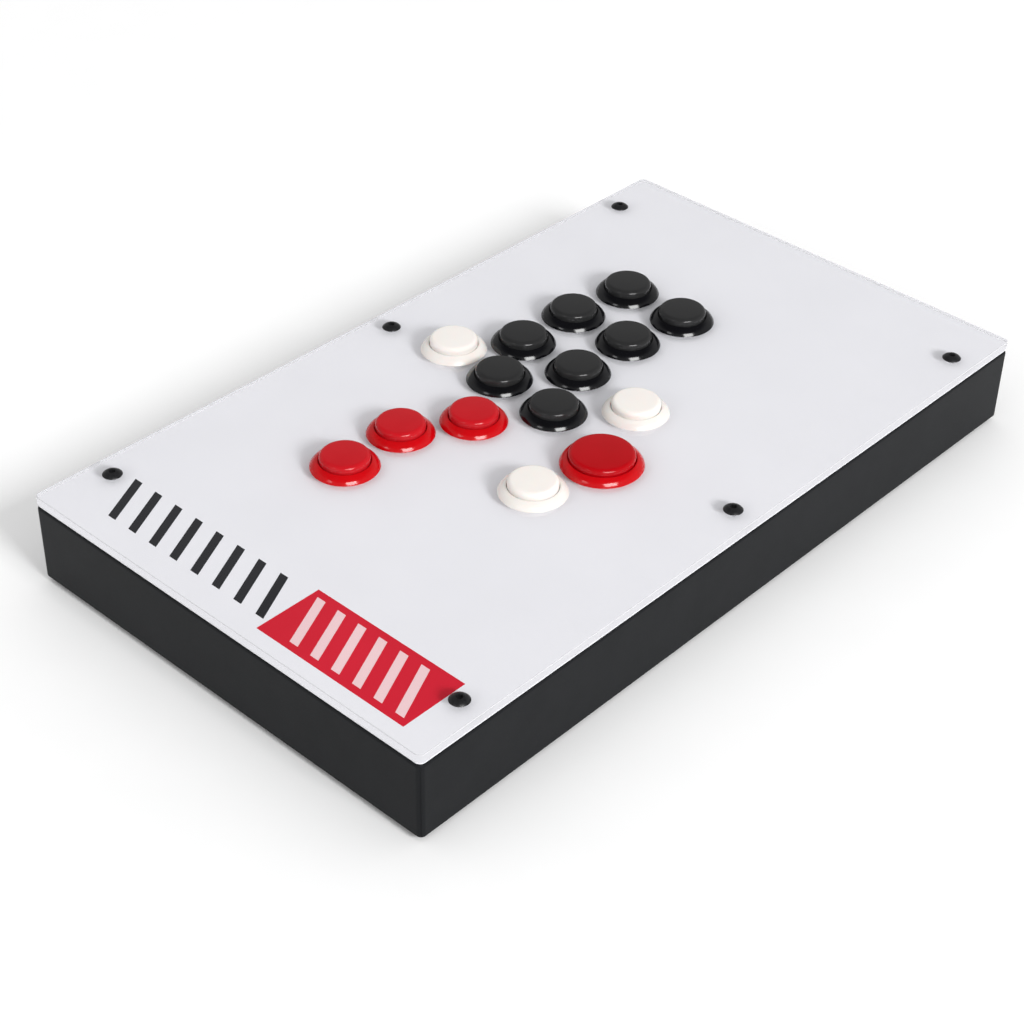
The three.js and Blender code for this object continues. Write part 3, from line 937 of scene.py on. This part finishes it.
def make_board():
    """Circuit board with drilled corners on four hexagonal spacers, held by pan-head screws."""
    corners = [Vector((BOARD_MIDDLE.x + sx * (BOARD_HALF.x - STANDOFF_INSET),
                       BOARD_MIDDLE.y + sy * (BOARD_HALF.y - STANDOFF_INSET), 0))
               for sx in (-1, 1) for sy in (-1, 1)]
    bm = bmesh.new()
    bottom = BOARD_TOP - BOARD_THICKNESS
    outline = [corner_loop(bm, BOARD_HALF, inset, z, BOARD_CORNER)
               for inset, z in edge_levels(bottom, BOARD_TOP, 0.08 * MM, 0.08 * MM, 2)]
    for loop in outline:
        bmesh.ops.translate(bm, vec=BOARD_MIDDLE, verts=loop)
    skins(bm, outline)
    lowest, highest = [outline[0]], [outline[-1]]
    for corner in corners:
        rims = [ring(bm, corner, lambda angle: BOARD_HOLE, z, 24) for z in (bottom, BOARD_TOP)]
        skin(bm, *rims)
        lowest.append(rims[0])
        highest.append(rims[1])
    fill_between(bm, lowest)
    fill_between(bm, highest)
    finish_piece("board_laminate", bm, ["circuit_board"], ROOT, ["encoder_board"])

    metal = bmesh.new()
    spacer = hexagon(SPACER_RADIUS)
    for corner in corners:
        levels = [(0.94, board_low.z), (1, board_low.z + 0.25 * MM), (1, bottom - 0.25 * MM), (0.94, bottom)]
        loops = [ring(metal, corner, lambda a, k=k: k * spacer(a), z, 48) for k, z in levels]
        skins(metal, loops)
        fan(metal, loops[0], metal.verts.new((corner.x, corner.y, board_low.z)))
        fan(metal, loops[-1], metal.verts.new((corner.x, corner.y, bottom)))
        head = rounded([
            (0, -1.2 * MM, 0),
            (1.4 * MM, -1.2 * MM, 0),
            (1.4 * MM, 0, 0),
            (2.6 * MM, 0, 0.1 * MM),
            (2.3 * MM, 1.3 * MM, 0.7 * MM),
            (0.8 * MM, 1.4 * MM, 0.1 * MM),
            (0.8 * MM, 0.5 * MM, 0),
            (0, 0.5 * MM, 0),
        ], steps=4)
        turn_profile(metal, corner, BOARD_TOP, head, 32)
    finish_piece("board_fixings", metal, ["socket_metal"], ROOT, sharp=40)


CHIP_HALF = 4.5 * MM
CHIP_LEGS = 11
LEG_PITCH = 0.6 * MM
# A leg's outline from the chip's side, in millimetres out and up.
CHIP_LEG = ((-0.1, 0.45), (0.35, 0.45), (0.6, 0), (1, 0), (1, 0.15), (0.65, 0.15), (0.4, 0.6), (-0.1, 0.6))
LEG_HALF_WIDTH = 0.12 * MM
SMALL_PARTS = 6
SMALL_PITCH = 2.6 * MM
SMALL_ROW = PARTS_Y - 8 * MM
SMALL_SIZE = (0.8 * MM, 1.6 * MM, 0.5 * MM)
TIP_LENGTH = 0.35 * MM
TIP_PROUD = 0.02 * MM


def make_chip():
    """The chip with its gull-wing legs, and a row of small parts beside it."""
    chip = bmesh.new()
    middle = Vector((BOARD_MIDDLE.x, PARTS_Y, BOARD_TOP))
    reach = CHIP_HALF - 1 * MM
    block(chip, middle + Vector((-reach, -reach, 0.1 * MM)), middle + Vector((reach, reach, 1 * MM)))
    for side in range(4):
        turn = Matrix.Rotation(side * math.pi / 2, 3, "Z")
        for i in range(CHIP_LEGS):
            across = (i - (CHIP_LEGS - 1) / 2) * LEG_PITCH
            sides = []
            for x in (across - LEG_HALF_WIDTH, across + LEG_HALF_WIDTH):
                outline = [turn @ Vector((x, reach + out * MM, z * MM)) + middle for out, z in CHIP_LEG]
                sides.append([chip.verts.new(point) for point in outline])
            skin(chip, *sides, 1)
            for side_face in sides:
                chip.faces.new(side_face).material_index = 1
    width, length, height = SMALL_SIZE
    tip_size = Vector((width + 2 * TIP_PROUD, TIP_LENGTH + 2 * TIP_PROUD, height + TIP_PROUD))
    for i in range(SMALL_PARTS):
        x = middle.x + (i - (SMALL_PARTS - 1) / 2) * SMALL_PITCH
        low = Vector((x - width / 2, SMALL_ROW, BOARD_TOP))
        block(chip, low, low + Vector(SMALL_SIZE), 0.06 * MM)
        for end in (0, length - TIP_LENGTH):
            tip = low + Vector((-TIP_PROUD, end - TIP_PROUD, 0))
            block(chip, tip, tip + tip_size, 0.05 * MM, 1)
    finish_piece("board_chip", chip, ["switch_body", "socket_metal"], ROOT)


HEADER_OFFSET = 15 * MM
HEADER_HALF = Vector((1.5, 9, 0)) * MM
HEADER_PINS = 7
HEADER_PITCH = 2.4 * MM
PIN_HALF = 0.3 * MM


def make_headers():
    """A shrouded pin header at each end of the board."""
    headers = bmesh.new()
    top = board_high.z
    shroud = (
        (0.05 * MM, BOARD_TOP),
        (0, BOARD_TOP + 0.2 * MM),
        (0, top - 0.15 * MM),
        (0.15 * MM, top),
        (0.5 * MM, top),
        (0.55 * MM, BOARD_TOP + 1.5 * MM),
    )
    for end in (-1, 1):
        x = BOARD_MIDDLE.x + end * HEADER_OFFSET
        centre = Vector((x, PARTS_Y, 0))
        loops = []
        for inset, z in shroud:
            loop = corner_loop(headers, HEADER_HALF, inset, z, 0.5 * MM, 3)
            bmesh.ops.translate(headers, vec=centre, verts=loop)
            loops.append(loop)
        skins(headers, loops)
        headers.faces.new(loops[0])
        headers.faces.new(loops[-1])
        for i in range(HEADER_PINS):
            y = PARTS_Y + (i - (HEADER_PINS - 1) / 2) * HEADER_PITCH
            block(headers, (x - PIN_HALF, y - PIN_HALF, BOARD_TOP + 1.4 * MM),
                  (x + PIN_HALF, y + PIN_HALF, top - 0.8 * MM), 0.1 * MM, 1)
    finish_piece("board_headers", headers, ["switch_body", "contact_gold"], ROOT)


TONGUE_HALF = (3.3 * MM, 0.35 * MM)
CONTACTS = 12
CONTACT_PITCH = 0.5 * MM
CONTACT_HALF_WIDTH = 0.12 * MM
CONTACT_PROUD = 0.03 * MM


def make_socket():
    """The socket's drawn shell, open to the back, with its contact tongue."""
    face = board_high.y
    shell = bmesh.new()
    loops = []
    for shrink, depth in ((0.35, 6.5), (0.35, 0.15), (0.23, 0), (0.08, 0), (0, 0.1), (0, 8.5)):
        half = [side - shrink * MM for side in SOCKET_HALF]
        loops.append(slot_loop(shell, half, face - depth * MM, (1.4 - shrink * 0.8) * MM))
    skins(shell, loops)
    shell.faces.new(loops[0])
    shell.faces.new(loops[-1])
    finish_piece("usb_shell", shell, ["socket_metal"], ROOT, sharp=40)

    tongue = bmesh.new()
    nose = [side * 0.9 for side in TONGUE_HALF]
    ends = ((TONGUE_HALF, 6.4), (TONGUE_HALF, 1.9), (nose, 1.6))
    loops = [slot_loop(tongue, half, face - depth * MM, 0.2 * MM) for half, depth in ends]
    skins(tongue, loops)
    tongue.faces.new(loops[0])
    tongue.faces.new(loops[-1])
    for i in range(CONTACTS):
        x = SOCKET_X + (i - (CONTACTS - 1) / 2) * CONTACT_PITCH
        for side in (-1, 1):
            z = SOCKET_MIDDLE + side * TONGUE_HALF[1]
            low = (x - CONTACT_HALF_WIDTH, face - 6 * MM, z - CONTACT_PROUD)
            high = (x + CONTACT_HALF_WIDTH, face - 2.1 * MM, z + CONTACT_PROUD)
            block(tongue, low, high, 0.01 * MM, 1)
    finish_piece("usb_tongue", tongue, ["switch_body", "contact_gold"], ROOT)


FLOOR_HALF = 6.0


def make_floor():
    bm = bmesh.new()
    corners = ((-1, -1), (1, -1), (1, 1), (-1, 1))
    bm.faces.new([bm.verts.new((x * FLOOR_HALF, y * FLOOR_HALF, 0)) for x, y in corners])
    mesh = bpy.data.meshes.new("floor")
    bm.to_mesh(mesh)
    bm.free()
    mesh.materials.append(floor_paper())
    floor = bpy.data.objects.new("floor", mesh)
    bpy.context.scene.collection.objects.link(floor)


def carry_over(node):
    """A CAD node that stays: its own look, and its edges softened."""
    piece = nodes[node]
    piece.data.materials.clear()
    piece.data.materials.append(LOOKS[slot_of[node]])
    bevel = piece.modifiers.new("soft_edges", "BEVEL")
    bevel.width = 0.15 * MM
    bevel.segments = 2
    bevel.limit_method = "ANGLE"


make_floor()
make_case()
make_base()
make_sheet()
make_print()
make_cover()
for name in button_names:
    make_button(name)
    carry_over("switch_" + name)
for name in screw_names:
    make_screw(name)
for name in foot_names:
    make_foot(name)
make_board()
make_chip()
make_headers()
make_socket()
